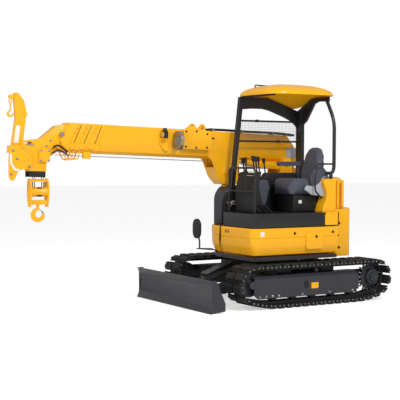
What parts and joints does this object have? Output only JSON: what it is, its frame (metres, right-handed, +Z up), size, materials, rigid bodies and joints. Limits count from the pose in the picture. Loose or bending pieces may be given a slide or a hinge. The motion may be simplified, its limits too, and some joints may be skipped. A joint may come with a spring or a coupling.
{
  "type": "mini crawler crane with telescopic boom",
  "caption": "Compact tracked slewing crane with a telescopic boom beside an open operator's canopy, hook block, searcher arm and front blade.",
  "frame": {"origin": "slewing axis at ground level, midway between the tracks", "axes": "+X forward towards the blade and the boom's tip, +Y to the operator's side, +Z up"},
  "size_m": [5.1161, 1.986, 2.925],
  "materials": {
    "yellow_paint": "glossy",
    "black_paint": "satin",
    "frame_grey": "satin",
    "track_rubber": "matte",
    "rubber": "matte",
    "chrome": "polished",
    "cast_iron": "rough",
    "wire_rope": "greased",
    "seat_vinyl": "vinyl"
  },
  "bodies": {
    "chassis": {"track_left": "track_rubber", "track_right": "track_rubber", "running_gear_left": "frame_grey", "running_gear_right": "frame_grey", "side_frame_left": "frame_grey", "side_frame_right": "frame_grey", "car_body": "frame_grey", "slew_ring": "frame_grey"},
    "blade": {"blade_board": "frame_grey", "blade_arms": "frame_grey"},
    "blade_barrel": {"blade_cylinder_barrel": "frame_grey"},
    "blade_rod": {"blade_cylinder_rod": "chrome"},
    "upper": {"revolving_frame": "frame_grey", "engine_block": "cast_iron", "counterweight": "yellow_paint", "skirt_left": "yellow_paint", "skirt_right": "yellow_paint", "floor": "yellow_paint", "tank_cover": "yellow_paint", "front_cover": "yellow_paint", "seat_base": "black_paint", "seat_cushion": "seat_vinyl", "seat_back": "seat_vinyl", "side_console": "black_paint", "front_console": "black_paint", "front_guard": "black_paint", "canopy_frame": "black_paint", "canopy_roof": "yellow_paint", "side_guard": "black_paint", "grab_rail": "black_paint", "mirror": "black_paint"},
    "hood": {"engine_hood": "yellow_paint"},
    "fuel_door": {"fuel_door": "yellow_paint"},
    "winch": {"winch_drum": "black_paint"},
    "derrick_barrel": {"derrick_barrel": "black_paint"},
    "derrick_rod": {"derrick_rod": "chrome"},
    "boom": {"boom_base": "yellow_paint", "cord_reel": "black_paint"},
    "tube_2": {"boom_tube_2": "yellow_paint"},
    "tube_3": {"boom_tube_3": "yellow_paint"},
    "tube_4": {"boom_tube_4": "yellow_paint"},
    "head": {"boom_head": "yellow_paint", "head_bumpers": "rubber"},
    "falls": {"head_sheaves": "black_paint", "rope_falls": "wire_rope"},
    "block": {"hook_block": "yellow_paint"},
    "hook": {"hook": "yellow_paint"},
    "searcher": {"searcher_arm": "yellow_paint"},
    "searcher_hook": {"searcher_hook": "yellow_paint"}
  },
  "joints": [
    {"name": "slew", "type": "hinge", "parent": "chassis", "child": "upper", "pos_m": [0, 0, 0.6], "axis": [0, 0, 1], "continuous": true},
    {"name": "blade_lift", "type": "hinge", "parent": "chassis", "child": "blade", "pos_m": [0.56, 0, 0.3], "axis": [0, -1, 0], "range_deg": [-15, 20]},
    {"name": "blade_cylinder_swing", "type": "hinge", "parent": "chassis", "child": "blade_barrel", "pos_m": [0.7, 0, 0.505], "axis": [0, -1, 0], "range_deg": [-20, 27]},
    {"name": "blade_cylinder_stroke", "type": "slide", "parent": "blade_barrel", "child": "blade_rod", "axis": [-0.9379, 0, 0.3469], "range_m": [-0.08, 0.1]},
    {"name": "hood_lid", "type": "hinge", "parent": "upper", "child": "hood", "pos_m": [-0.44, 0.29, 1.68], "axis": [0, 1, 0], "range_deg": [0, 55]},
    {"name": "fuel_door_hinge", "type": "hinge", "parent": "upper", "child": "fuel_door", "pos_m": [0.15, 0.8943, 0.8525], "axis": [0, 0, -1], "range_deg": [0, 110]},
    {"name": "winch_turn", "type": "hinge", "parent": "upper", "child": "winch", "pos_m": [-0.56, -0.33, 1.49], "axis": [0, 1, 0], "continuous": true},
    {"name": "boom_luff", "type": "hinge", "parent": "upper", "child": "boom", "pos_m": [-0.3, -0.33, 1.86], "axis": [0, -1, 0], "range_deg": [0, 78.16]},
    {"name": "derrick_swing", "type": "hinge", "parent": "upper", "child": "derrick_barrel", "pos_m": [-0.1, -0.33, 0.8], "axis": [0, -1, 0], "range_deg": [0, 38.5]},
    {"name": "derrick_stroke", "type": "slide", "parent": "derrick_barrel", "child": "derrick_rod", "axis": [0.6616, 0, 0.7499], "range_m": [0, 0.81]},
    {"name": "extend_2", "type": "slide", "parent": "boom", "child": "tube_2", "axis": [0.9995, 0, 0.0321], "range_m": [0, 2.12]},
    {"name": "extend_3", "type": "slide", "parent": "tube_2", "child": "tube_3", "axis": [0.9995, 0, 0.0321], "range_m": [0, 2.13]},
    {"name": "extend_4", "type": "slide", "parent": "tube_3", "child": "tube_4", "axis": [0.9995, 0, 0.0321], "range_m": [0, 2.13]},
    {"name": "extend_5", "type": "slide", "parent": "tube_4", "child": "head", "axis": [0.9995, 0, 0.0321], "range_m": [0, 2.13]},
    {"name": "falls_swing", "type": "hinge", "parent": "head", "child": "falls", "pos_m": [3.40491, -0.33, 1.82894], "axis": [0, -1, 0], "range_deg": [-79, 0]},
    {"name": "hoist", "type": "slide", "parent": "falls", "child": "block", "axis": [0, 0, -1], "range_m": [0, 1.05], "deforming": ["rope_falls"]},
    {"name": "hook_swivel", "type": "hinge", "parent": "block", "child": "hook", "pos_m": [3.40491, -0.33, 1.25], "axis": [0, 0, 1], "continuous": true},
    {"name": "searcher_tilt", "type": "hinge", "parent": "head", "child": "searcher", "pos_m": [3.60543, -0.33, 1.90942], "axis": [0, 1, 0], "range_deg": [0, 86]},
    {"name": "searcher_hook_swing", "type": "hinge", "parent": "searcher", "child": "searcher_hook", "pos_m": [3.80439, -0.33, 2.68221], "axis": [0, 1, 0], "range_deg": [-87, 0]}
  ],
  "couplings": [
    {"joint": "blade_cylinder_swing", "follows": "blade_lift", "ratio": 1.09},
    {"joint": "blade_cylinder_stroke", "follows": "blade_lift", "m_per_rad": 0.2339},
    {"joint": "derrick_swing", "follows": "boom_luff", "ratio": 0.4835},
    {"joint": "derrick_stroke", "follows": "boom_luff", "m_per_rad": 0.58178},
    {"joint": "extend_3", "follows": "extend_2", "ratio": 1},
    {"joint": "extend_4", "follows": "extend_2", "ratio": 1},
    {"joint": "extend_5", "follows": "extend_2", "ratio": 1},
    {"joint": "falls_swing", "follows": "boom_luff", "ratio": -1},
    {"joint": "searcher_hook_swing", "follows": "searcher_tilt", "ratio": -1}
  ]
}
